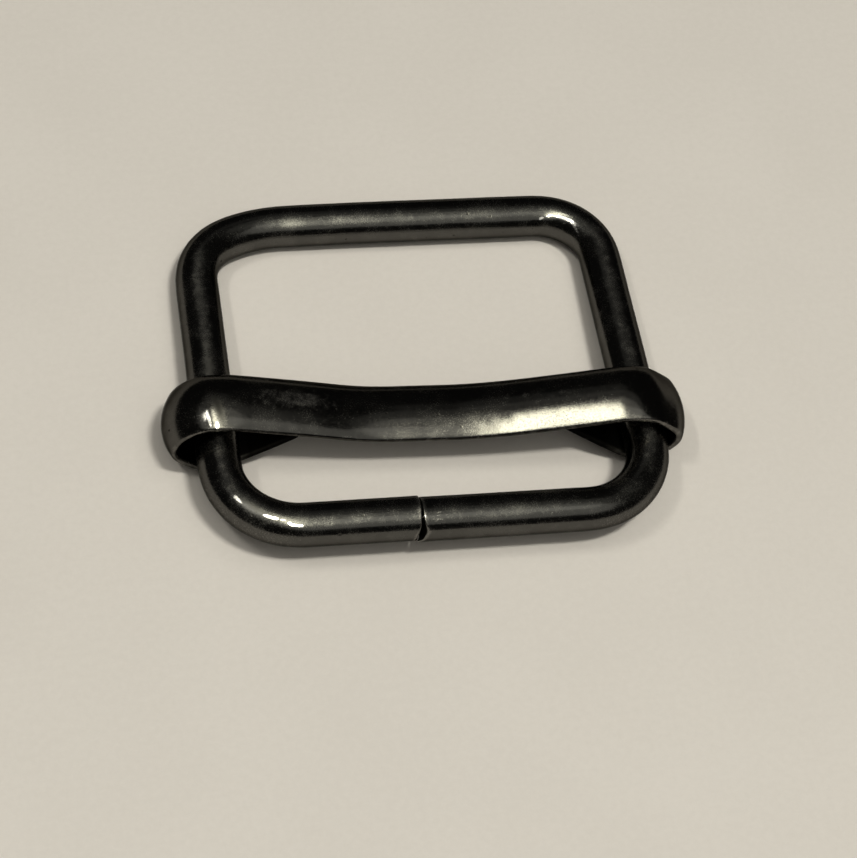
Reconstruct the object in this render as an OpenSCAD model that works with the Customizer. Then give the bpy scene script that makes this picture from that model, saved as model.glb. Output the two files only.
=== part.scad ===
// Strap slider: a ring bent from round steel wire, and a pressed steel bar that slides along it.
// Millimetres. X runs along the bars, +Y runs up the ring to the far bar, +Z is up from the table.
// The origin is on the table, below the middle of the slider's bounding box.
// The slider lies as it does by itself: the far bar and the eyes of the slide bar touch the table.

/* [Ring] */
// Clear width inside the ring, which is the width of strap that fits
clear_width = 26; // [22:1:40]
// Clear length inside the ring, between the near and the far bar
clear_length = 22.5; // [20:0.5:34]
// Diameter of the ring's wire
wire_d = 3; // [2.6:0.1:3.2]
// Bend radius of the wire's centre line at the near left corner
bend_near_left = 5; // [4:0.1:5.5]
// Bend radius of the wire's centre line at the near right corner
bend_near_right = 4.8; // [4:0.1:5.5]
// Bend radius of the wire's centre line at the far right corner
bend_far_right = 4.3; // [4:0.1:5.5]
// Bend radius of the wire's centre line at the far left corner
bend_far_left = 5.3; // [4:0.1:5.5]

/* [Butt joint] */
// Width of the open joint where the two ends of the wire meet, in the near bar
butt_gap = 0.35; // [0.1:0.05:0.6]
// Distance of the joint from the middle of the near bar, to the left
butt_offset = 1.8; // [-3:0.1:3]
// Slant of the cut ends against a square cut
butt_slant = 3; // [-8:1:8]

/* [Slide bar strip] */
// Width of the strip
strip_width = 4.55; // [3.8:0.05:5]
// Thickness of the strip along its domed middle, where it bridges the ring
strip_mid = 1.15; // [0.9:0.05:1.3]
// Thickness of the strip along its middle in the eyes, where bending flattens the dome
eye_mid = 1; // [0.7:0.05:1.1]
// Thickness of the strip beside its rounded edges
strip_edge = 0.5; // [0.5:0.05:0.65]
// Radius of the strip's rounded edges
edge_radius = 0.25; // [0.1:0.05:0.25]

/* [Slide bar saddle] */
// Height of the strip's underside above the top of the wire, beside the rails
crest_rise = 0.92; // [0.6:0.02:1.4]
// Slope of the strip's two flanks, down to the shallow saddle in its middle
flank_slope = 10; // [6:0.5:10]
// Length of the flat at the bottom of the saddle
saddle_flat = 3.1; // [1:0.1:4]
// Bend radius from that flat into the flanks
saddle_radius = 27; // [20:1:30]
// Bend radius over the crests beside the rails
crest_radius = 10; // [6:0.5:12]

/* [Slide bar eyes] */
// Distance of each crest inwards from the centre line of its rail
crest_inset = 0.53; // [0.4:0.01:0.7]
// Length of the flat on each crest
crest_flat = 0.3; // [0.1:0.1:0.6]
// Bend radius of the shoulder that turns down outside the rail
shoulder_radius = 2.65; // [2.4:0.05:3]
// Angle of the shoulder's bend
shoulder_turn = 55; // [50:1:60]
// Bend radius of the turn in under the rail
turn_in_radius = 1; // [0.8:0.1:1.2]
// Angle of the turn in under the rail
turn_in_angle = 78; // [72:1:82]
// Length of the straight between the turn in and the floor
floor_run = 0.85; // [0.4:0.05:1]
// Bend radius of the eye's floor
floor_radius = 2.1; // [1.8:0.1:2.3]
// Room between the wire and the floor of the eye
floor_room = 0.22; // [0.15:0.05:0.4]

/* [Tongues] */
// Rise of each tongue from the floor of its eye towards the middle of the bar
tongue_rise = 18; // [12:1:22]
// Length of the straight part of each tongue
tongue_run = 5.6; // [3:0.1:6]
// Length over which the strip narrows towards the tongue's tip
taper_length = 9.6; // [6:0.2:10]
// Width of the round tip
tip_width = 1.45; // [1:0.05:2]

/* [Place of the slide bar] */
// Distance of the slide bar from the middle of the ring, towards the near bar
bar_place = 5; // [-5:0.1:6]
// Side play taken up, to the left
bar_shift = 0.2; // [0:0.05:0.25]
// Skew of the slide bar in its play, with the right end nearer
bar_skew = 2.1; // [0:0.1:2.4]

/* [Quality] */
// Facets on a full circle of the wire
facets = 96; // [48:12:144]
// Degrees between two sections of the strip in its tight bends
bend_step = 8; // [5:1:10]

// Sub-part to build

/* [Hidden] */
$fn = facets;
GUNMETAL = [0.16, 0.16, 0.17];
SMOKE_NICKEL = [0.24, 0.24, 0.25];

// Ring: centre line of the wire
wire_r = wire_d / 2;
half_w = (clear_width + wire_d) / 2;
half_l = (clear_length + wire_d) / 2;

// Eyes: heading after the turn in, and the length of the outer wall that fits the drop
SHORTEST_WALL = 0.05;
crest_u = half_w - crest_inset;
crest_w = wire_d + crest_rise;
floor_heading = shoulder_turn + turn_in_angle;
shoulder_drop = shoulder_radius * (1 - cos(shoulder_turn));
turn_in_drop = turn_in_radius * (cos(shoulder_turn) - cos(floor_heading));
run_drop = floor_run * sin(floor_heading);
floor_drop = floor_radius * (1 + cos(floor_heading));
wall_drop = crest_w + floor_room - shoulder_drop - turn_in_drop - run_drop - floor_drop;
wall_run = max(SHORTEST_WALL, wall_drop / sin(shoulder_turn));

// Saddle: straight flank between the two bends, and the height of the flat in the middle
bend_reach = (saddle_radius + crest_radius) * sin(flank_slope);
flank_run = (crest_u - saddle_flat / 2 - bend_reach) / cos(flank_slope);
saddle_depth = (saddle_radius + crest_radius) * (1 - cos(flank_slope)) + flank_run * sin(flank_slope);
saddle_w = crest_w - saddle_depth;

// Strip: share of its width left at the tip, and the radius of the tip
tip_radius = tip_width / 2;
tip_share = tip_width / strip_width;

// Steps of the sweep: degrees in the wide bends, steps along a tongue and round its tip
WIDE_BEND_STEP = 2.5;
TAPER_STEPS = 7;
TIP_STEPS = 6;
TIP_ANGLE = 84;
wide_steps = ceil(flank_slope / WIDE_BEND_STEP);
floor_turn = 180 - floor_heading + tongue_rise;

// Path of the strip's inner face from the middle of the bar out to the right tip.
// Each leg is [length or turn in degrees, radius or 0 for a straight, number of steps];
// a positive turn bends towards the inner face.
legs = [
  [saddle_flat / 2, 0, 1],
  [-flank_slope, saddle_radius, wide_steps],
  [flank_run, 0, 1],
  [flank_slope, crest_radius, wide_steps],
  [crest_flat, 0, 1],
  [shoulder_turn, shoulder_radius, ceil(shoulder_turn / bend_step)],
  [wall_run, 0, 1],
  [turn_in_angle, turn_in_radius, ceil(turn_in_angle / bend_step)],
  [floor_run, 0, 1],
  [floor_turn, floor_radius, ceil(floor_turn / bend_step)],
  [tongue_run - tip_radius, 0, TAPER_STEPS]
];

// Rest: tilt at which the far bar and the floor of the left eye touch the table together
eye_y = -bar_place + half_w * sin(bar_skew);
eye_depth = wire_r + floor_room + eye_mid;
rest_reach = half_l - eye_y;
tilt = acos(wire_r / norm([eye_depth, rest_reach])) - atan2(rest_reach, eye_depth);
lift = half_l * sin(tilt);

// Size of the cutting block for the joint
past = 4 * wire_d;

// One straight length of the ring's wire
module wire_run(from, heading, length)
  translate([from[0], from[1], wire_r])
    rotate([0, 0, heading])
      rotate([0, 90, 0])
        cylinder(h = length, r = wire_r);

// One quarter bend of the ring's wire, about a centre given in the ring's plane
module wire_bend(centre, start, radius)
  translate([centre[0], centre[1], wire_r])
    rotate([0, 0, start])
      rotate_extrude(angle = 90)
        translate([radius, 0])
          circle(r = wire_r);

// The closed ring before the joint is cut
module ring() {
  wire_run([-half_w + bend_near_left, -half_l], 0, 2 * half_w - bend_near_left - bend_near_right);
  wire_bend([half_w - bend_near_right, -half_l + bend_near_right], 270, bend_near_right);
  wire_run([half_w, -half_l + bend_near_right], 90, 2 * half_l - bend_near_right - bend_far_right);
  wire_bend([half_w - bend_far_right, half_l - bend_far_right], 0, bend_far_right);
  wire_run([half_w - bend_far_right, half_l], 180, 2 * half_w - bend_far_right - bend_far_left);
  wire_bend([-half_w + bend_far_left, half_l - bend_far_left], 90, bend_far_left);
  wire_run([-half_w, half_l - bend_far_left], 270, 2 * half_l - bend_far_left - bend_near_left);
  wire_bend([-half_w + bend_near_left, -half_l + bend_near_left], 180, bend_near_left);
}

// Point on a leg, a share of the way along it from its start, with its heading below the horizontal
function on_leg(start, heading, leg, share) =
  leg[1] == 0
    ? start + share * leg[0] * [cos(heading), -sin(heading)]
    : start + sign(leg[0]) * leg[1] * (turned(heading + share * leg[0]) - turned(heading));

// Sine and cosine of a heading, whose difference between two headings is the chord of a unit bend
function turned(heading) = [sin(heading), cos(heading)];

// Length of a leg along the inner face
function leg_length(leg) = leg[1] == 0 ? leg[0] : abs(leg[0]) * leg[1] * PI / 180;

// Stations [point, heading, length so far] along the legs from number i on
function stations(i, start, heading, so_far) =
  i == len(legs)
    ? []
    : concat(
        [
          for (k = [1:legs[i][2]])
            let (share = k / legs[i][2])
              [
                on_leg(start, heading, legs[i], share),
                heading + (legs[i][1] == 0 ? 0 : share * legs[i][0]),
                so_far + share * leg_length(legs[i])
              ]
        ],
        stations(
          i + 1,
          on_leg(start, heading, legs[i], 1),
          heading + (legs[i][1] == 0 ? 0 : legs[i][0]),
          so_far + leg_length(legs[i])
        )
      );

// Half width of the strip at a distance from its tip, before the tip is rounded
function tapered(from_tip) =
  strip_width / 2 * (tip_share + (1 - tip_share) * sin(90 * min(1, from_tip / taper_length)));

// Rise of the domed outer face above the edges: full along the bridge, less after the shoulder
function dome(heading) =
  let (share = max(0, min(1, heading / shoulder_turn)))
    strip_mid - strip_edge + share * (eye_mid - strip_mid);

// Section at a half width: a flat inner face, rounded edges and a domed outer face
function section(half, rise) =
  let (r = min(edge_radius, half / 2), flat = half - r)
    concat(
      [for (a = [0:45:90]) [flat + r * sin(a), r - r * cos(a)]],
      [for (a = [0:45:45]) [flat + r * cos(a), strip_edge - r + r * sin(a)]],
      [for (k = [1:-1/3:-1]) [flat * k, strip_edge + rise * (1 - k * k)]],
      [for (a = [45:-45:0]) [-flat - r * cos(a), strip_edge - r + r * sin(a)]],
      [for (a = [90:-45:0]) [-flat - r * sin(a), r - r * cos(a)]]
    );

// Ring of section points about a station, on the right half (side 1) or the left half (side -1)
function ring_points(station, half, side) =
  [
    for (p = section(half, dome(station[1])))
      [
        side * (station[0][0] + p[1] * sin(station[1])),
        p[0],
        station[0][1] + p[1] * cos(station[1])
      ]
  ];

// Station a distance straight ahead of another
function ahead(station, distance) =
  [station[0] + distance * [cos(station[1]), -sin(station[1])], station[1], station[2] + distance];

// Rings of one half of the bar from just beside its middle out to the tip
function half_rings(side) =
  let (
    run = stations(0, [0, saddle_w], 0, 0),
    last = run[len(run) - 1],
    total = last[2] + tip_radius
  )
    concat(
      [for (s = run) ring_points(s, tapered(total - s[2]), side)],
      [
        for (k = [1:TIP_STEPS])
          let (angle = TIP_ANGLE * k / TIP_STEPS)
            ring_points(ahead(last, tip_radius * sin(angle)), tapered(tip_radius) * cos(angle), side)
      ]
    );

// The whole bar as one closed sweep from the left tip to the right tip
module pressed_bar() {
  right = half_rings(1);
  left = half_rings(-1);
  middle = ring_points([[0, saddle_w], 0, 0], strip_width / 2, 1);
  rings = concat([for (i = [len(left) - 1:-1:0]) left[i]], [middle], right);
  around = len(middle);
  last = len(rings) - 1;
  polyhedron(
    points = [for (r = rings) for (p = r) p],
    faces = concat(
      [[for (j = [0:around - 1]) j]],
      [
        for (i = [0:last - 1])
          for (j = [0:around - 1])
            let (
              a = i * around + j,
              b = i * around + (j + 1) % around
            )
              each [[b, a, b + around], [b + around, a, a + around]]
      ],
      [[for (j = [around - 1:-1:0]) last * around + j]]
    )
  );
}

// Turns the ring's own plane to the slider's rest on the table, about the middle of the ring
module at_rest()
  translate([bar_shift, 0, wire_r + lift])
    rotate([-tilt, 0, 0])
      translate([0, 0, -wire_r])
        children();

// The bent wire ring, with its open butt joint in the near bar
module frame()
  color(GUNMETAL)
    at_rest()
      difference() {
        ring();
        translate([-butt_offset, -half_l, wire_r])
          rotate([0, 0, butt_slant])
            cube([butt_gap, past, past], center = true);
      }

// The pressed bar, which bridges the ring and is curled round both rails
module slide_bar()
  color(SMOKE_NICKEL)
    at_rest()
      translate([-bar_shift, -bar_place, 0])
        rotate([0, 0, -bar_skew])
          pressed_bar();

frame();
slide_bar();
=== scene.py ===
import math

import bpy
import numpy as np
from mathutils import Matrix, Vector


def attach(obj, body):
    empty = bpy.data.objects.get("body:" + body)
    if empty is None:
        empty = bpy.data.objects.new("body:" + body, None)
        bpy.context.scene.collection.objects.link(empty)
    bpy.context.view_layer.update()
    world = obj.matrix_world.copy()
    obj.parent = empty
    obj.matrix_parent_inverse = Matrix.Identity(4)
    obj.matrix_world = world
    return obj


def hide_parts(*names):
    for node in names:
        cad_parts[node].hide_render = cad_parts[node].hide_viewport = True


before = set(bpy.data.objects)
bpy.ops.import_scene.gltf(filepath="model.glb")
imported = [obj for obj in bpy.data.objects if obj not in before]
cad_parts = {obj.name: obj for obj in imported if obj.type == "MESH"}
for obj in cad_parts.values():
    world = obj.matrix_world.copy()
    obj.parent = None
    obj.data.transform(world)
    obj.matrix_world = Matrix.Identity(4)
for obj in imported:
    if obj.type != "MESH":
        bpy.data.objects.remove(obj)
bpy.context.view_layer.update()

# Ring: one length of round steel wire, bent at four corners into a rounded
# rectangle and plated in dark nickel. Its sheared ends meet in an open butt
# joint in the near bar, where the plating is rubbed and the rims are worn.
WIRE_RADIUS = 1.5  # millimetres, as every length is until `laid` turns it to metres
RING_HALF_WIDTH = 14.5  # to the centre line of the wire
RING_HALF_LENGTH = 12.75
NEAR_RIGHT, FAR_RIGHT, NEAR_LEFT = 4.8, 4.1, 5.0  # radii of three of the bends
# The far left bend is slack for its first 25 degrees and tight for the rest
FAR_LEFT_EASY, FAR_LEFT_TIGHT, FAR_LEFT_SPLIT = 10.0, 4.2, 25.0
JOINT_PLACE = -1.8
JOINT_GAP = 0.22
RING_TIP = math.radians(4.04045)  # the near side is up
RING_LIFT = 0.898374
RING_SHIFT = 0.2
# Bent by hand: the right rail stands out a little, more so at its near end, and the ring is
# twisted, so that its near right bar lies lower and its far bar higher than in a flat one
RAIL_SET_OUT, RAIL_SET_OUT_CHANGE = 0.12, 0.06
NEAR_RIGHT_DROP, FAR_RISE = 0.20, 0.10
SKIN_INSET = 0.014  # keeps the unevenness within the true size of the wire


def hump(value, middle, width):
    """Bell-shaped curve: one at the middle, and falling to 1/e at the width from it."""
    return np.exp(-(((value - middle) / width) ** 2))


def laid(points):
    """Millimetres in the ring's own plane to metres on the table: the points turn by the ring's
    tip about a line along X at the height of the wire's centre, and are then shifted and lifted."""
    x, y, z = points[..., 0], points[..., 1], points[..., 2] - WIRE_RADIUS
    across = y * math.cos(RING_TIP) + z * math.sin(RING_TIP)
    up = z * math.cos(RING_TIP) - y * math.sin(RING_TIP)
    return np.stack([x + RING_SHIFT, across, up + WIRE_RADIUS + RING_LIFT], -1) / 1000


def leg_length(size, turn):
    """Length of a leg: a straight's own, or a bend's radius times its turn in radians."""
    return abs(math.radians(turn)) * size if turn else size


def run_along(legs, start, lengths):
    """Points of a bent line at the given lengths along it. Each leg is a straight (length, 0) or a
    bend (radius, turn in degrees, to the left if positive). On a straight the point is its start
    plus the length along the heading; in a bend it is the centre plus the radius at the angle that
    the length spans. Past both ends the line goes straight on."""
    place, heading, done = np.array(start[:2], float), start[2], 0.0
    begins, places, headings, bends = [], [], [], []
    for size, turn in legs:
        begins.append(done)
        places.append(place)
        headings.append(heading)
        angle = math.radians(turn)
        bends.append(math.copysign(1 / size, turn) if turn else 0.0)
        ahead = np.array([math.cos(heading), math.sin(heading)])
        left = np.array([-ahead[1], ahead[0]])
        if turn:
            side = math.copysign(size, turn)
            place = place + abs(math.sin(angle)) * size * ahead
            place = place + side * (1 - math.cos(angle)) * left
        else:
            place = place + size * ahead
        heading += angle
        done += leg_length(size, turn)
    begins.append(done)
    places.append(place)
    headings.append(heading)
    bends.append(0.0)
    leg = np.clip(np.searchsorted(begins, lengths, "right") - 1, 0, len(legs))
    rest = (lengths - np.array(begins)[leg])[:, None]
    bend = np.array(bends)[leg][:, None]
    first = np.array(headings)[leg][:, None]
    safe = np.where(bend == 0, 1, bend)
    last = first + rest * bend
    arc = np.concatenate([np.sin(last) - np.sin(first), np.cos(first) - np.cos(last)], 1) / safe
    straight = rest * np.concatenate([np.cos(first), np.sin(first)], 1)
    return np.array(places)[leg] + np.where(bend == 0, straight, arc)


def eased(legs, start, lengths, spread):
    """Points and unit headings of a bent line whose bends flow into its straights: the exact line,
    sampled every fiftieth of a millimetre, is averaged with a bell-shaped weight of the given
    spread, cut off at four spreads."""
    step = 0.02
    reach = int(4 * spread / step)
    total = sum(leg_length(*leg) for leg in legs)
    fine = np.arange(-reach, total / step + reach + 1) * step
    exact = run_along(legs, start, fine)
    bell = np.exp(-0.5 * (np.arange(-reach, reach + 1) * step / spread) ** 2)
    bell /= bell.sum()
    soft = np.stack([np.convolve(exact[:, i], bell, "same") for i in range(2)], -1)
    slope = np.gradient(soft, step, axis=0)
    slope /= np.linalg.norm(slope, axis=1)[:, None]
    at = [np.interp(lengths, fine, column) for column in (*soft.T, *slope.T)]
    return np.stack(at[:2], -1), np.stack(at[2:], -1)


def shown(name, data):
    """A new object of the scene that holds a mesh, a light or a camera."""
    made = bpy.data.objects.new(name, data)
    bpy.context.scene.collection.objects.link(made)
    return made


def skinned(name, rings, ends, around, along, marks):
    """Mesh over a grid of closed rings, with a fan to one point at each end. The map is distance
    along the piece by distance round it, in metres. Marks are shares per point, by name, and the
    point at each end takes the mean of the ring beside it."""
    rows, columns = rings.shape[:2]
    points = np.concatenate([rings.reshape(-1, 3), ends])
    row, column = np.meshgrid(np.arange(rows - 1), np.arange(columns), indexing="ij")
    row, column = row.ravel(), column.ravel()
    beside = (column + 1) % columns
    here, there = row * columns, (row + 1) * columns
    quads = np.stack([here + column, there + column, there + beside, here + beside], -1)
    spoke = np.arange(columns)
    next_spoke = (spoke + 1) % columns
    first = np.stack([np.full(columns, rows * columns), spoke, next_spoke], -1)
    tail = (rows - 1) * columns
    last = np.stack([np.full(columns, rows * columns + 1), tail + next_spoke, tail + spoke], -1)
    corners = np.concatenate([quads.ravel(), first.ravel(), last.ravel()])
    fan_starts = len(quads) * 4 + np.arange(2 * columns) * 3
    starts = np.concatenate([np.arange(len(quads)) * 4, fan_starts])
    quad_along = along[np.stack([row, row + 1, row + 1, row], -1)]
    quad_around = around[np.stack([column, column, column + 1, column + 1], -1)]
    quad_map = np.stack([quad_along, quad_around], -1)
    fan_maps = []
    for edge, turn in ((along[0], (0, 0, 1)), (along[-1], (0, 1, 0))):
        round_it = around[np.stack([spoke + shift for shift in turn], -1)]
        fan_maps.append(np.stack([np.full(round_it.shape, edge), round_it], -1))
    flat_map = np.concatenate([part.reshape(-1, 2) for part in (quad_map, *fan_maps)])

    mesh = bpy.data.meshes.new(name)
    mesh.vertices.add(len(points))
    mesh.vertices.foreach_set("co", points.astype(np.float32).ravel())
    mesh.loops.add(len(corners))
    mesh.loops.foreach_set("vertex_index", corners.astype(np.int32))
    mesh.polygons.add(len(starts))
    mesh.polygons.foreach_set("loop_start", starts.astype(np.int32))
    mesh.update(calc_edges=True)
    mesh.uv_layers.new(name="surface").data.foreach_set("uv", flat_map.astype(np.float32).ravel())
    for mark, share in marks.items():
        layer = mesh.attributes.new(mark, "FLOAT", "POINT")
        at_ends = [share[0].mean(), share[-1].mean()]
        layer.data.foreach_set("value", np.append(share.ravel(), at_ends).astype(np.float32))
    mesh.shade_smooth()
    mesh.validate()
    return shown(name, mesh)


def waved(first, second, size, seed):
    """Slow unevenness in millimetres: eight sine waves over the two distances, in random
    directions and with random phases, with crests about `size` apart."""
    draw = np.random.default_rng(seed)
    waves, total = 8, 0.0
    for _ in range(waves):
        angle = draw.uniform(0, math.pi)
        phase = draw.uniform(0, 2 * math.pi)
        pitch = size * draw.uniform(0.6, 1.6)
        way = first * math.cos(angle) + second * math.sin(angle)
        total = total + np.sin(way * 2 * math.pi / pitch + phase)
    return total / waves


def bent_wire():
    """The ring's skin: a circle of the wire's radius carried square to the centre line, with its
    ends rounded off and closed. The rows crowd at the rims, the wire is flattened a little in the
    bends, and near the joint each row is shifted along the wire, which shapes the sheared ends.
    The marks are bell-shaped in the distance along the wire and the angle round it."""
    long_way, wide_way = 2 * RING_HALF_LENGTH, 2 * RING_HALF_WIDTH
    split = math.radians(FAR_LEFT_SPLIT)
    far_left_x = FAR_LEFT_EASY * math.sin(split) + FAR_LEFT_TIGHT * (1 - math.sin(split))
    far_left_y = FAR_LEFT_EASY * (1 - math.cos(split)) + FAR_LEFT_TIGHT * math.cos(split)
    start = JOINT_PLACE + JOINT_GAP / 2
    finish = JOINT_PLACE - JOINT_GAP / 2
    legs = [
        (RING_HALF_WIDTH - NEAR_RIGHT - start, 0), (NEAR_RIGHT, 90),
        (long_way - NEAR_RIGHT - FAR_RIGHT, 0), (FAR_RIGHT, 90),
        (wide_way - FAR_RIGHT - far_left_x, 0),
        (FAR_LEFT_EASY, FAR_LEFT_SPLIT), (FAR_LEFT_TIGHT, 90 - FAR_LEFT_SPLIT),
        (long_way - far_left_y - NEAR_LEFT, 0), (NEAR_LEFT, 90),
        (RING_HALF_WIDTH - NEAR_LEFT + finish, 0),
    ]
    total = sum(leg_length(*leg) for leg in legs)
    # Rows: those that close an end, those round its rim, those that crowd behind it, and the rest
    rim, body_step, columns = 0.07, 0.15, 72
    turn = np.linspace(0, math.pi / 2, 8)
    rim_in, rim_round = rim * (1 - np.cos(turn)), rim * np.sin(turn)
    shares = np.array([0.25, 0.5, 0.75, 0.92])
    close_in = np.arange(1, 9) * 0.06 + rim
    body = np.linspace(close_in[-1], total - close_in[-1], int(total / body_step))[1:-1]
    inward = np.concatenate([np.zeros(len(shares)), rim_in, close_in])
    full_size = np.full(len(close_in), WIRE_RADIUS)
    size = np.concatenate([shares * (WIRE_RADIUS - rim), WIRE_RADIUS - rim + rim_round, full_size])
    lengths = np.concatenate([inward, body, total - inward[::-1]])
    radius = np.concatenate([size, np.full(len(body), WIRE_RADIUS), size[::-1]])[:, None]

    centre, ahead = eased(legs, (start, -RING_HALF_LENGTH, 0), lengths, spread=0.45)
    right_half = lengths < total / 2
    east = np.clip((centre[:, 0] - 6) / 8.5, 0, 1)
    centre[:, 0] += east * (RAIL_SET_OUT - RAIL_SET_OUT_CHANGE * centre[:, 1] / RING_HALF_LENGTH)
    near = hump(centre[:, 1], -RING_HALF_LENGTH, 2.1)
    far = hump(centre[:, 1], RING_HALF_LENGTH, 6)
    rise = FAR_RISE * np.clip((centre[:, 0] + 9) / 6, 0, 1) * far
    twist = rise - np.where(right_half, NEAR_RIGHT_DROP, 0.0) * near
    centre[:, 1] += np.where(right_half, 0.018, 0.002) * near
    bending = np.zeros(len(lengths))
    done = 0.0
    for size, turn in legs:
        after = done + leg_length(size, turn)
        if turn:
            bending += np.clip(np.minimum(lengths - done, after - lengths) / 1.5 + 0.5, 0, 1)
        done = after

    angle = np.linspace(0, 2 * math.pi, columns + 1)[:-1][None] - math.pi / 2
    outward, upward = np.cos(angle), np.sin(angle)
    flatter = 1 - 0.018 * bending[:, None] * outward ** 2
    around_mm = (angle + math.pi / 2) * WIRE_RADIUS
    along_mm = lengths[:, None]
    # Unevenness: slow and fine waves, and dents in the bends, faded out at the ends and the seam
    uneven = 0.012 * waved(along_mm, around_mm * 1.5, size=7.0, seed=3)
    uneven = uneven + 0.0035 * waved(along_mm, around_mm, size=1.7, seed=4)
    bent = np.clip(bending, 0, 1)[:, None]
    uneven = uneven + 0.007 * bent * waved(along_mm, around_mm * 0.8, size=2.4, seed=21)
    near_end = np.minimum(along_mm, total - along_mm)
    fade = np.clip(near_end / 0.6, 0, 1)
    seam = np.sin((angle + math.pi / 2) / 2) ** 2
    reach = radius * flatter + uneven * fade * np.clip(seam * 6, 0, 1) - SKIN_INSET * fade

    share = radius / WIRE_RADIUS
    near_side = outward * share
    top_side = upward * share
    # Sheared ends: the right one is worn back above and dragged out in a lip below, and the left
    # one leans and is notched, each by so many millimetres round a place on the rim
    worn = 0.24 * hump(angle, math.radians(24), 0.33) * share ** 6 - 0.03
    lip = -0.42 * hump(angle, math.radians(-22), 0.15) * share ** 3
    lean_end = 0.03 * top_side - 0.03 * near_side
    dragged = -0.26 * hump(angle, math.radians(-8), 0.55) * share ** 3
    notch = -0.16 * hump(angle, math.radians(-24), 0.18) * share ** 3
    fading, fading_end = hump(along_mm, 0, 0.55), hump(total - along_mm, 0, 0.55)
    shift = (worn + lip) * fading + (lean_end + dragged + notch) * fading_end

    side = np.stack([ahead[:, 1], -ahead[:, 0]], -1)
    flat = centre[:, None] + side[:, None] * (reach * outward)[..., None]
    flat = flat + ahead[:, None] * shift[..., None]
    height = WIRE_RADIUS + reach * upward + twist[:, None]
    rings = laid(np.concatenate([flat, height[..., None]], -1))
    ends = np.stack([rings[0].mean(0), rings[-1].mean(0)])
    everywhere = np.ones_like(angle)
    rims = hump(near_end, 0, 0.5) * everywhere
    # The cut faces are dull and darkened to near black, as painted shade in the joint's gap, and a
    # patch on the near left bend is dulled and darkened a little, as painted shade over the lamp's
    # streak; the right end is brushed
    dull_and_painted_shade = np.clip((0.985 - share) / 0.03, 0, 1) * everywhere
    dull_and_painted_shade += 0.35 * hump(along_mm, 90.6, 2.4) * hump(angle, math.radians(70), 0.22)
    brushed = hump(along_mm, 1.0, 0.9) * hump(angle, math.radians(55), 0.6)
    on_rail = np.abs(ahead[:, 1:2]) ** 4
    slid = on_rail * hump(angle, math.radians(90), 0.42)
    # Painted glint: bright metal colour on the rim of the right end at the joint, where a lamp's
    # highlight falls
    painted_glints = hump(along_mm, 0.06, 0.09) * hump(angle, math.radians(64), 0.06)
    # Painted glints at the far right and the near left bends: bright metal colour where the lamp's
    # highlights fall.
    # The line of each one is given as degrees round the wire by millimetres along it, and how
    # bright it is by millimetres along it
    glint_lines = (
        {"line": ((36.9, 38.2, 38.9, 40.8, 41.7), (145, 130, 121, 126, 138)),
         "bright": ((36.7, 37.4, 38.2, 40.1, 40.5, 40.9, 41.3, 41.7, 42.0),
                    (0, 0.5, 1, 1, 0.4, 0.8, 0.3, 1, 0))},
        {"line": ((88.2, 89.3, 91.7, 92.1, 93.2), (68, 65, 65, 56, 51)),
         "bright": ((88.1, 88.4, 88.8, 89.2, 90.2, 90.6, 91.2, 91.4, 91.6, 91.75, 92.0, 92.7, 93.0),
                    (0, 1, 0.7, 0, 0, 1, 1, 0.2, 0.8, 0.2, 0.9, 0.8, 0))},
    )
    for glint_line in glint_lines:
        glint_turn = np.radians(np.interp(along_mm, *glint_line["line"]))
        painted_glints = painted_glints + np.interp(along_mm, *glint_line["bright"]) * hump(angle, glint_turn, 0.075)
    rubbed = bending[:, None] * np.clip(outward, 0, 1) ** 2
    around = np.linspace(0, 2 * math.pi * WIRE_RADIUS, columns + 1) / 1000
    marks = {"rims": rims, "rubbed": rubbed, "brushed": brushed, "slid": slid}
    marks |= {"dull_and_painted_shade": dull_and_painted_shade, "painted_glints": painted_glints}
    return skinned("ring", rings, ends, around, lengths / 1000, marks)


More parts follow.
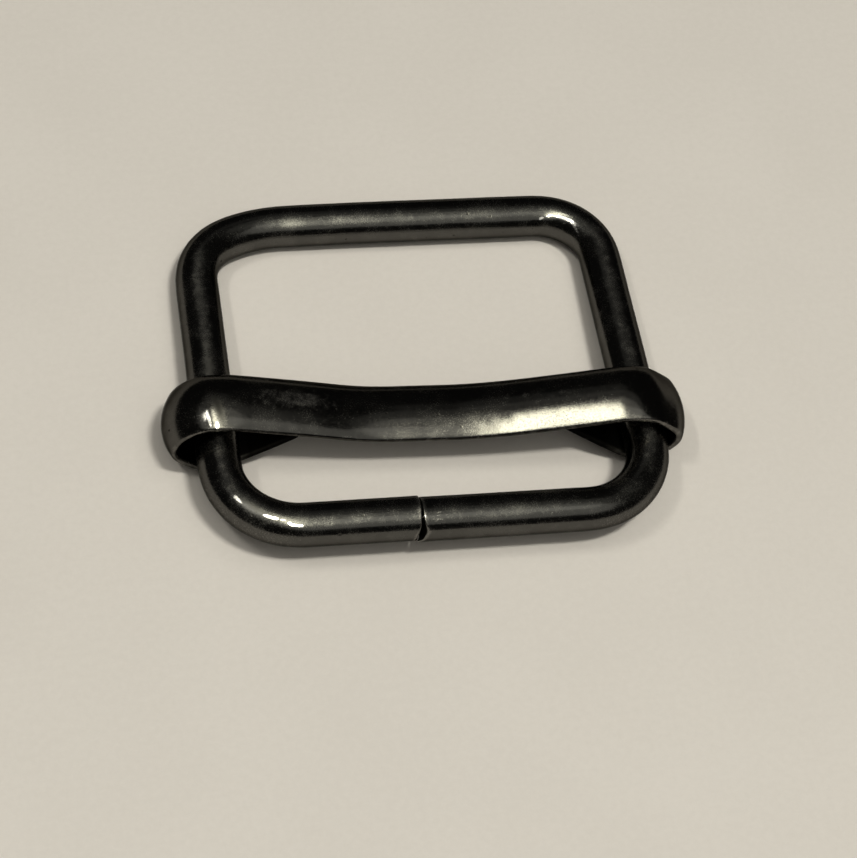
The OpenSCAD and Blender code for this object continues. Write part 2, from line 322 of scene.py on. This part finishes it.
class Shade:
    """A value, colour or vector of a material. A sum, difference or product adds a Math node."""

    def __init__(self, tree, socket=None):
        self.tree = tree
        self.socket = socket

    def node(self, kind, settings, sockets, out=0):
        """Adds a node: its settings are set first, then each socket gets its value or its link."""
        made = self.tree.nodes.new(kind)
        for name, value in settings.items():
            setattr(made, name, value)
        for name, value in sockets.items():
            if isinstance(value, Shade):
                self.tree.links.new(value.socket, made.inputs[name])
            else:
                made.inputs[name].default_value = value
        return Shade(self.tree, made.outputs[out] if len(made.outputs) else None)

    def math(self, operation, *values):
        """A Math node of the given values."""
        return self.node("ShaderNodeMath", {"operation": operation}, dict(enumerate(values)))

    def __add__(self, other):
        return self.math("ADD", self, other)

    def __sub__(self, other):
        return self.math("SUBTRACT", self, other)

    def __rsub__(self, other):
        return self.math("SUBTRACT", other, self)

    def __mul__(self, other):
        return self.math("MULTIPLY", self, other)

    __radd__ = __add__
    __rmul__ = __mul__

    def between(self, low, high):
        """0 below low, 1 above high and an even S-curve between them."""
        sockets = {0: self, 1: low, 2: high, 3: 0.0, 4: 1.0}
        return self.node("ShaderNodeMapRange", {"interpolation_type": "SMOOTHSTEP"}, sockets)

    def capped(self):
        """This value, or 1 where it is more."""
        return self.math("MINIMUM", self, 1.0)

    def mark(self, name):
        """A mark of the mesh: a share per point, read by its name."""
        return self.node("ShaderNodeAttribute", {"attribute_name": name}, {}, 2)

    def toned(self, first, second):
        """Colour between two colours, by this value."""
        ends = [c if isinstance(c, Shade) else (*c, 1) for c in (first, second)]
        sockets = {0: self, 6: ends[0], 7: ends[1]}
        return self.node("ShaderNodeMix", {"data_type": "RGBA"}, sockets, 2)

    def noise(self, places, pitch, detail, rough):
        """Soft noise over places in millimetres, with features about `pitch` millimetres apart."""
        sockets = {"Vector": places, "Scale": 1 / pitch, "Detail": detail, "Roughness": rough}
        return self.node("ShaderNodeTexNoise", {}, sockets)

    def in_mm(self, kind, settings=None, stretch=(1, 1, 1)):
        """Places in millimetres, read from the object or from the piece's own map, and stretched
        along each axis."""
        source = self.node(kind, settings or {}, {}, 3 if kind == "ShaderNodeTexCoord" else 0)
        sockets = {0: source, 1: [1000 * s for s in stretch]}
        return self.node("ShaderNodeVectorMath", {"operation": "MULTIPLY"}, sockets)


def blank(name):
    """A new material with no nodes, and the Shade that adds to it."""
    material = bpy.data.materials.new(name)
    material.use_nodes = True
    material.node_tree.nodes.clear()
    return material, Shade(material.node_tree)


def dark_nickel(name, tone, gloss, haze, extra):
    """Dark nickel plating over steel: a dark metal whose gloss is clouded in patches, with fine
    pits and grain, drawn lines along the piece, dull places darkened as painted shade and bright
    painted glints where the marks say so, and bare steel where `extra` says that it is worn.
    Gloss is the least roughness and haze what the clouds add to it; the relief is in millimetres."""
    material, shade = blank(name)
    place = shade.in_mm("ShaderNodeTexCoord")
    drawn = shade.in_mm("ShaderNodeUVMap", {"uv_map": "surface"}, (0.12, 1, 1))

    clouds = shade.noise(place, pitch=2.6, detail=4.0, rough=0.6)
    mottle = shade.noise(place, pitch=0.55, detail=3.0, rough=0.6)
    grain = shade.noise(place, pitch=0.09, detail=2.0, rough=0.6)
    lines = shade.noise(drawn, pitch=0.12, detail=3.0, rough=0.7)
    pit_spacing = 0.9
    scattered = {"Vector": place, "Scale": 1 / pit_spacing, "Randomness": 1.0}
    cells = shade.node("ShaderNodeTexVoronoi", {"feature": "F1"}, scattered)
    pits = (1 - cells.between(0.06, 0.14)) * mottle.between(0.5, 0.62)

    bare_steel, painted_glint_tone = (0.34, 0.325, 0.30), (0.9, 0.88, 0.84)
    in_pits, painted_shade_tone = (0.02, 0.018, 0.016), (0.006, 0.0055, 0.005)
    hazy = clouds.between(0.42, 0.66) * 0.6 + mottle.between(0.5, 0.72) * 0.4
    worn = extra(shade, place, clouds, mottle, grain)
    dull_and_painted_shade = shade.mark("dull_and_painted_shade")
    colour = hazy.toned(tone, [1.35 * c for c in tone])
    colour = worn.toned(colour, bare_steel)
    colour = (pits * 0.7).toned(colour, in_pits)
    # Painted shade: near-black colour where the dull mark is set, on the joint's cut faces, the
    # tongues and two lamp streaks
    colour = dull_and_painted_shade.toned(colour, painted_shade_tone)
    # Painted glints: bright metal colour laid where the lamp highlights fall, by the glint marks
    colour = shade.mark("painted_glints").between(0.3, 0.6).toned(colour, painted_glint_tone)
    roughness = hazy * haze + gloss + worn * 0.25 + grain.between(0.45, 0.68) * 0.13
    roughness = roughness + pits * 0.2 + dull_and_painted_shade * 0.4
    height = grain * 0.0016 + mottle * 0.0023 + lines * 0.0016 - pits * 0.01
    bump = shade.node("ShaderNodeBump", {}, {"Strength": 1.0, "Distance": 0.001, "Height": height})
    surface = shade.node("ShaderNodeBsdfPrincipled", {}, {
        "Base Color": colour, "Metallic": 1 - worn * 0.25, "Roughness": roughness, "Normal": bump,
        "Specular Tint": (0.32, 0.32, 0.32, 1),
    })
    shade.node("ShaderNodeOutputMaterial", {}, {"Surface": surface})
    return material


def ring_wear(shade, place, clouds, mottle, grain):
    """Bare metal on the sheared rims, brushed strokes beside the right one, a haze where the bar
    slides on the rails, and specks where the outsides of the bends are rubbed."""
    drawn = shade.in_mm("ShaderNodeUVMap", {"uv_map": "surface"}, (0.35, 1, 1))
    strokes = shade.noise(drawn, pitch=0.16, detail=2.0, rough=0.5)
    bare = (shade.mark("rims") * 0.9 + mottle * 0.6).between(0.95, 1.35)
    scuffed = bare + (shade.mark("brushed") * 0.42 + strokes).between(0.86, 1.02) * 0.8
    dusty = (shade.mark("slid") * 0.5 + clouds * 0.3 + mottle * 0.5).between(0.55, 1.15)
    specks = (shade.mark("rubbed") * 0.25 + grain).between(0.78, 0.9)
    return (scuffed * 0.5 + dusty * 0.45 + specks * 0.35).capped()


ring = bent_wire()
ring_plating = dark_nickel(
    "ring plating", tone=(0.088, 0.086, 0.081), gloss=0.13, haze=0.16, extra=ring_wear
)
ring.data.materials.append(ring_plating)
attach(ring, "frame")
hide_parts("frame")

# Slide bar: one strip of sheet steel, pressed with a domed outer face, bridged over
# both rails with a shallow saddle, and curled round each rail into an eye whose
# tapered, round-tipped tongue points back inwards. The same plating, more scuffed.
BAR_WIDTH = 4.54
BAR_EDGE = 0.5  # thickness at the edges of the strip
BAR_EDGE_RADIUS = 0.24
BRIDGE_THICKNESS = 1.15
EYE_THICKNESS = 1.0
BAR_TOP = 3.911  # height of the inner face over the wire's underside, at the crests
BAR_FLOOR = -0.22  # and in the eyes
BAR_PLACE = (-0.307, -4.964)  # its middle, in the ring's own plane
BAR_SKEW = math.radians(-2.128)
SADDLE_FLAT, SADDLE_RADIUS, FLANK = 1.557, 26.8, 9.99  # the flank's slope is in degrees
TIP_SHARE = 0.3457  # width of a tongue's tip as a share of the bar's


def eye_legs(
    crest_radius, crest, shoulder, shoulder_turn, turn_in, turn_in_angle, run, floor, rise, tongue
):
    """Legs of half of the bar from its middle out, with bends to the right negative. The straight
    outer wall is what the height from the crest to the floor leaves for it, and the floor turns
    on until the tongue rises by the given angle."""
    flank, turned = math.radians(FLANK), math.radians(shoulder_turn)
    under = math.radians(shoulder_turn + turn_in_angle)
    level = crest - SADDLE_FLAT - (SADDLE_RADIUS + crest_radius) * math.sin(flank)
    straight = level / math.cos(flank)
    drop = BAR_TOP - BAR_FLOOR - shoulder * (1 - math.cos(turned))
    drop -= turn_in * (math.cos(turned) - math.cos(under))
    drop -= run * math.sin(under) + floor * (math.cos(under) + 1)
    return [
        (SADDLE_FLAT, 0), (SADDLE_RADIUS, FLANK), (straight, 0), (crest_radius, -FLANK), (0.3, 0),
        (shoulder, -shoulder_turn), (drop / math.sin(turned), 0), (turn_in, -turn_in_angle),
        (run, 0), (floor, shoulder_turn + turn_in_angle - 180 - rise), (tongue, 0),
    ]


def quarter_round(distance, radius, least):
    """Height of a quarter circle at a distance from its end, as a share of its radius: the square
    root of one less the square of what is left to the middle."""
    return np.sqrt(np.clip(1 - np.clip(1 - distance / radius, 0, 1) ** 2, least, 1))


def pressed_strip():
    """The bar's skin: a section carried square to the path of its inner face. The section has a
    flat inner face, round edges and a circular dome that meets them smoothly; its width narrows to
    the tips as a quarter sine wave, and each tip is a half circle in plan. The right eye's edges
    are raised by the square of the distance across. The marks are bell-shaped."""
    eyes = {
        -1: dict(
            crest_radius=8.0, crest=13.93, shoulder=2.646, shoulder_turn=71.43, turn_in=1.078,
            turn_in_angle=69.16, run=0.928, floor=2.026, rise=18.73, tongue=5.795,
        ),
        1: dict(
            crest_radius=3.5, crest=13.73, shoulder=2.68, shoulder_turn=37.61, turn_in=0.977,
            turn_in_angle=86.32, run=0.751, floor=1.96, rise=24.49, tongue=5.45,
        ),
    }
    tapers = {-1: 9.51, 1: 9.15}
    row_step, crown_columns, edge_columns, under_columns = 0.085, 30, 10, 14
    tip = BAR_WIDTH * TIP_SHARE / 2
    # The rows of a tip crowd to its end, as the points of a quarter circle do
    turn = np.linspace(0.09, math.pi / 2, 16)
    tip_rows = tip * (1 - np.cos(turn))
    halves = {}
    for side, eye in eyes.items():
        legs = eye_legs(**eye)
        total = sum(leg_length(*leg) for leg in legs)
        body = np.linspace(0, total - tip_rows[-1], int(total / row_step))[:-1]
        lengths = np.concatenate([body, total - tip_rows[::-1]])
        path, ahead = eased(legs, (0, 0, 0), lengths, spread=0.22)
        path[:, 1] += BAR_TOP - path[:, 1].max()
        # The saddle is pressed a little high right of its middle and low left of it
        place = path[:, 0] * side
        path[:, 1] += 0.05 * hump(place, 4.5, 2.2) - 0.085 * hump(place, -4.2, 2.6)
        from_tip = total - lengths
        narrowed = np.sin(math.pi / 2 * np.clip(from_tip / tapers[side], 0, 1))
        taper = TIP_SHARE + (1 - TIP_SHARE) * narrowed
        rounding = quarter_round(from_tip, tip, 1e-4)
        heading = np.unwrap(np.arctan2(ahead[:, 1], ahead[:, 0]))
        curled = np.clip(-heading / math.radians(eye["shoulder_turn"]), 0, 1)
        thick = BRIDGE_THICKNESS + (EYE_THICKNESS - BRIDGE_THICKNESS) * curled
        half = BAR_WIDTH / 2 * taper
        halves[side] = (
            lengths * side, path * [side, 1], ahead * [1, side], half, rounding, from_tip, thick
        )
    # The halves are eased to one height where they meet
    meet = (halves[-1][1][0, 1] - halves[1][1][0, 1]) / 2
    for side, rows in halves.items():
        rows[1][:, 1] += side * meet * hump(rows[0], 0, 5)
    left, right = halves[-1], halves[1]
    length, path, ahead, half, rounding, from_tip, thick = (
        np.concatenate([a[:0:-1], b]) for a, b in zip(left, right)
    )
    length = length[:, None]
    # Section: its round edges get smaller to the tips, and its dome gets lower as it narrows
    near_tip = quarter_round(from_tip, 2 * BAR_EDGE_RADIUS, 1e-3)[:, None]
    half_width = (half * rounding)[:, None]
    corner = np.minimum(BAR_EDGE_RADIUS, half_width * 0.5) * near_tip
    flat = half_width - corner
    lift = BAR_EDGE / 2 - corner
    dome = (thick[:, None] - BAR_EDGE) * (half_width * 2 / BAR_WIDTH) ** 1.3 + 0.004
    rise = BAR_EDGE - 2 * lift + dome - corner
    radius = (flat ** 2 + rise ** 2 - corner ** 2) / (2 * (rise - corner))
    lean = np.arcsin(np.clip(flat / (radius - corner), 0, 1))

    face = np.linspace(-1, 1, crown_columns)[None] * lean
    crown_y, crown_h = radius * np.sin(face), rise + corner - radius + radius * np.cos(face)
    sweep = np.linspace(0, 1, edge_columns)[None, 1:]
    falling = lean + (math.pi - lean) * sweep
    edge_y, edge_h = flat + corner * np.sin(falling), corner + corner * np.cos(falling)
    under_y = flat * np.linspace(1, -1, under_columns)[None, 1:-1]
    under_h = np.zeros_like(under_y)
    back_y, back_h = -edge_y[:, ::-1], edge_h[:, ::-1]
    cross = np.concatenate([crown_y, edge_y, under_y, back_y], 1)
    high = np.concatenate([crown_h, edge_h, under_h, back_h], 1) + lift
    middle = len(cross) // 2
    gap = np.hypot(np.roll(cross, -1, 1) - cross, np.roll(high, -1, 1) - high)
    around = np.append(0, np.cumsum(gap[middle])) / 1000

    outer = np.clip(high / BAR_EDGE, 0, 1)
    uneven = 0.010 * waved(length, cross * 1.3, size=6.0, seed=11)
    uneven = uneven + 0.003 * waved(length, cross, size=1.5, seed=12)
    high = high + (uneven - 0.010) * outer * np.clip(from_tip, 0, 1)[:, None]
    # The right eye is pressed flatter: its outer face rises to its edges by up to 0.15 mm
    share = cross / half_width
    right_eye = (length[:, 0] > 0) * np.clip((BRIDGE_THICKNESS - thick) / 0.1, 0, 1)
    raised = (right_eye * np.clip(from_tip / 9 - 0.2, 0, 1))[:, None]
    high = high + 0.15 * raised * outer * share ** 2
    normal = np.stack([-ahead[:, 1], ahead[:, 0]], -1)
    profile = path[:, None] + normal[:, None] * high[..., None]
    place, on_top = profile[..., 0], profile[..., 1] > 3.0
    x = place * math.cos(BAR_SKEW) - cross * math.sin(BAR_SKEW) + BAR_PLACE[0]
    y = place * math.sin(BAR_SKEW) + cross * math.cos(BAR_SKEW) + BAR_PLACE[1]
    rings = laid(np.stack([x, y, profile[..., 1]], -1))[:, ::-1]
    ends = np.stack([rings[0].mean(0), rings[-1].mean(0)])

    # Marks, by place along the bar and share of its half width: rubbed edges and crests, scuffed
    # patches, tongues dulled and darkened as painted shade under the bar, and on the left shoulder
    # a lamp streak dulled and darkened as painted shade between two painted glints
    edges = hump(np.abs(cross), half_width, 0.22)
    crests = hump(np.abs(place), 14.6, 1.6) * on_top
    patches = hump(place, -9.0, 3.2) + 0.5 * hump(place, 8.0, 5.0)
    scuffs = patches * hump(share, 0.05, 0.4) * on_top
    # Painted shade: a streak on the left shoulder, where the strip lamp's reflection falls, is
    # darkened
    shaded_lamp_streak = hump(place + 0.6 * (share + 0.4), -14.2, 0.33) * hump(share, -0.4, 0.5)
    # Painted shade: the tongues, which lie under the bar, are darkened towards their tips
    dull_and_painted_shade = np.clip(2.2 - from_tip[:, None] / 3.2, 0, 1) + 0.75 * shaded_lamp_streak * on_top
    # Painted glints: two bright spots on the left shoulder where the lamp's highlight falls
    painted_glints = hump(place + 0.5 * (share + 0.6), -14.88, 0.1) * np.exp(-(((share + 0.68) / 0.26) ** 4))
    painted_glints = (painted_glints + hump(place, -14.3, 0.13) * hump(share, -0.9, 0.1)) * on_top
    marks = {"edges": edges, "crests": crests, "scuffs": scuffs, "dull_and_painted_shade": dull_and_painted_shade, "painted_glints": painted_glints}
    marks = {name: values[:, ::-1] for name, values in marks.items()}
    return skinned("slide_bar_strip", rings, ends, around, length[:, 0] / 1000, marks)


def bar_wear(shade, place, clouds, mottle, grain):
    """Rubbed long edges and crests, broken up by the mottling, with scuffed patches and specks."""
    rubbed = shade.mark("edges") * 0.35 + shade.mark("crests") * 0.15 + mottle * 0.8
    patches = shade.noise(place, pitch=0.5, detail=4.0, rough=0.7)
    scuffed = (shade.mark("scuffs") * 0.45 + patches).between(0.66, 1.1) * 1.7
    specks = grain.between(0.70, 0.82)
    return ((rubbed.between(0.66, 0.95) + scuffed) * 0.3 + specks * 0.2).capped()


strip = pressed_strip()
bar_plating = dark_nickel(
    "bar plating", tone=(0.080, 0.0775, 0.0725), gloss=0.11, haze=0.11, extra=bar_wear
)
strip.data.materials.append(bar_plating)
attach(strip, "slide_bar")
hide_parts("slide_bar")

# Table: a sheet of pale paper laid flat. It is the floor of the scene and not part
# of the slider.
PAPER_SIZE = 0.9  # metres


def paper():
    """Warm, pale paper with a faint grain."""
    material, shade = blank("paper")
    place = shade.in_mm("ShaderNodeTexCoord")
    grain = shade.noise(place, pitch=0.5, detail=4.0, rough=0.7)
    tint = shade.noise(place, pitch=12.0, detail=2.0, rough=0.5)
    mixed = (grain * 0.6 + tint * 0.4).between(0.3, 0.7)
    colour = mixed.toned((0.80, 0.75, 0.70), (0.84, 0.79, 0.74))
    surface = shade.node("ShaderNodeBsdfPrincipled", {}, {"Base Color": colour, "Roughness": 0.9})
    shade.node("ShaderNodeOutputMaterial", {}, {"Surface": surface})
    return material


half = PAPER_SIZE / 2
sheet = bpy.data.meshes.new("table")
corners = [(-half, -half, 0), (half, -half, 0), (half, half, 0), (-half, half, 0)]
sheet.from_pydata(corners, [], [(0, 1, 2, 3)])
sheet.materials.append(paper())
table = shown("table", sheet)

# Lamps: soft studio lights hung over the table. The two keys cast the shadows and are hidden
# from the plating, which mirrors one long strip light instead.
LOOK_AT = Vector((0.0, -0.003, 0.002))


def facing(place, across, back):
    """Where a lamp or camera stands: its X axis lies across, and its Z axis points back."""
    axes = Matrix((across, back.cross(across), back)).transposed().to_4x4()
    return Matrix.Translation(place) @ axes


def lamp(name, azimuth, elevation, distance, long_way, size, radiance, tint=(1.0, 0.985, 0.90)):
    """An oval soft light that faces the slider, from an azimuth clockwise from +Y and an elevation
    in degrees, at a distance and of a size in metres. Its power is its radiance times pi times its
    area, and its first size lies across the line to the slider, as near as can be to long_way."""
    turn, rise = math.radians(azimuth), math.radians(elevation)
    out = Vector((math.sin(turn) * math.cos(rise), math.cos(turn) * math.cos(rise), math.sin(rise)))
    wide = (Vector(long_way) - out * Vector(long_way).dot(out)).normalized()
    light = bpy.data.lights.new(name, "AREA")
    light.shape = "ELLIPSE"
    light.size, light.size_y = size
    light.color = tint
    light.energy = radiance * math.pi * math.pi / 4 * size[0] * size[1]
    holder = shown(name, light)
    holder.matrix_world = facing(LOOK_AT + out * distance, wide, out)
    return holder


# Each with its azimuth, elevation, distance, long way, size and radiance, and one with a tint
key = lamp("key_light", 151, 72.8, 0.5, (1, 0.1, 0), (0.09, 0.045), 105.0)
key.visible_glossy = False
second = lamp("second_key", 92, 69, 0.5, (1, 0, 0), (0.12, 0.12), 3.0)
second.visible_glossy = False
warm = (1.0, 0.98, 0.78)
strip_light = lamp("strip_light", -160, 75, 0.5, (0.12, -1, 0), (0.44, 0.075), 18.0, warm)
strip_light.visible_diffuse = False
lamp("side_light", -95, 65, 0.5, (0, 1, 0), (0.13, 0.035), 26.0)
lamp("front_fill", 166, 55, 0.6, (1, 0, 0), (0.53, 0.53), 0.54)
lamp("middle_fill", -150, 75, 0.6, (1, 0, 0), (0.61, 0.61), 0.38)
lamp("top_fill", -100, 82, 0.6, (1, 0, 0), (0.78, 0.78), 0.14)
lamp("back_fill", -9, 54, 0.6, (1, 0, 0), (0.34, 0.26), 0.07)

world = bpy.data.worlds.new("studio")
world.use_nodes = True
room = world.node_tree.nodes["Background"]
room.inputs["Color"].default_value = (1.0, 0.97, 0.92, 1)
room.inputs["Strength"].default_value = 0.02
bpy.context.scene.world = world
bpy.context.scene.view_settings.view_transform = "Standard"

# Camera: where the photograph was taken from, a little rolled, with a long lens
# that takes in the slider and little of the paper round it.
CAMERA_PLACE = Vector((-0.030726, -0.092277, 0.144881))
CAMERA_AIM = Vector((0.0001717, -0.0053489, 0.0024))
CAMERA_ROLL = math.radians(13.4568)
eye = bpy.data.cameras.new("camera")
eye.sensor_fit = "HORIZONTAL"
eye.sensor_width = 36.0
eye.lens = 105.12
eye.clip_start, eye.clip_end = 0.005, 5.0
camera = shown("camera", eye)
ahead = (CAMERA_AIM - CAMERA_PLACE).normalized()
level = ahead.cross(Vector((0, 0, 1))).normalized()
right = level * math.cos(CAMERA_ROLL) + level.cross(ahead) * math.sin(CAMERA_ROLL)
camera.matrix_world = facing(CAMERA_PLACE, right, -ahead)
bpy.context.scene.camera = camera
